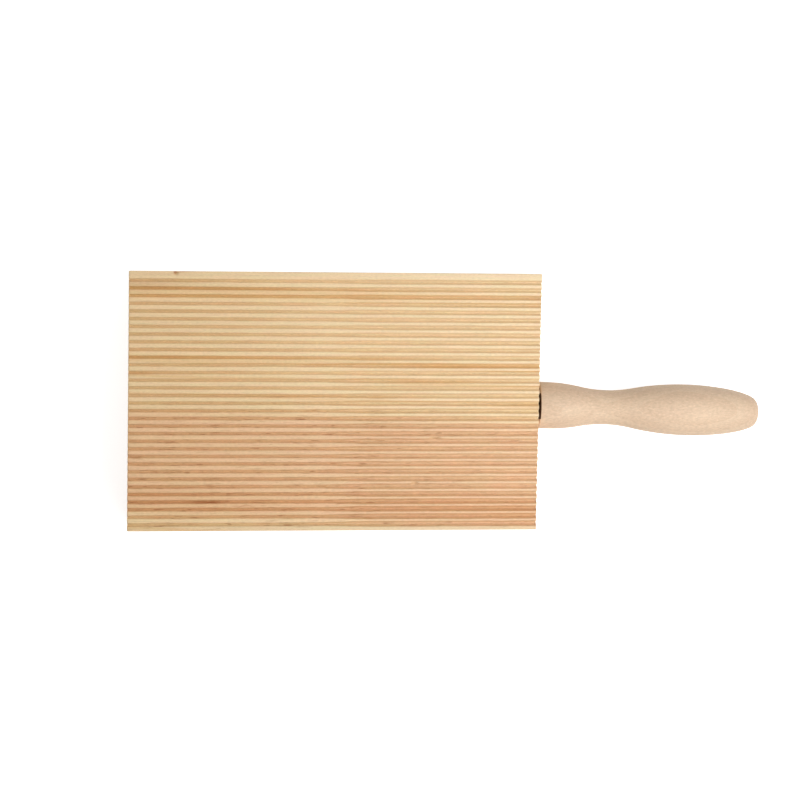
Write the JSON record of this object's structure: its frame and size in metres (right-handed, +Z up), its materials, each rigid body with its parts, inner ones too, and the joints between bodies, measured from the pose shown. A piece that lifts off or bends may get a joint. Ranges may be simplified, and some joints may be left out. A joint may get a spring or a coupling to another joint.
{
  "type": "gnocchi board",
  "caption": "Flat wooden board with lengthwise grooves for rolling ridges into pasta, with a turned wooden handle set in one end.",
  "frame": {"origin": "middle of the board's underside", "axes": "+X along the grooves towards the handle, +Z up out of the grooved face"},
  "size_m": [0.2068, 0.0828, 0.018],
  "materials": {
    "softwood": "bare planed pine, matt",
    "hardwood": "bare turned beech, matt"
  },
  "bodies": {
    "root": {"grooved_board": "softwood", "turned_handle": "hardwood"}
  },
  "joints": []
}
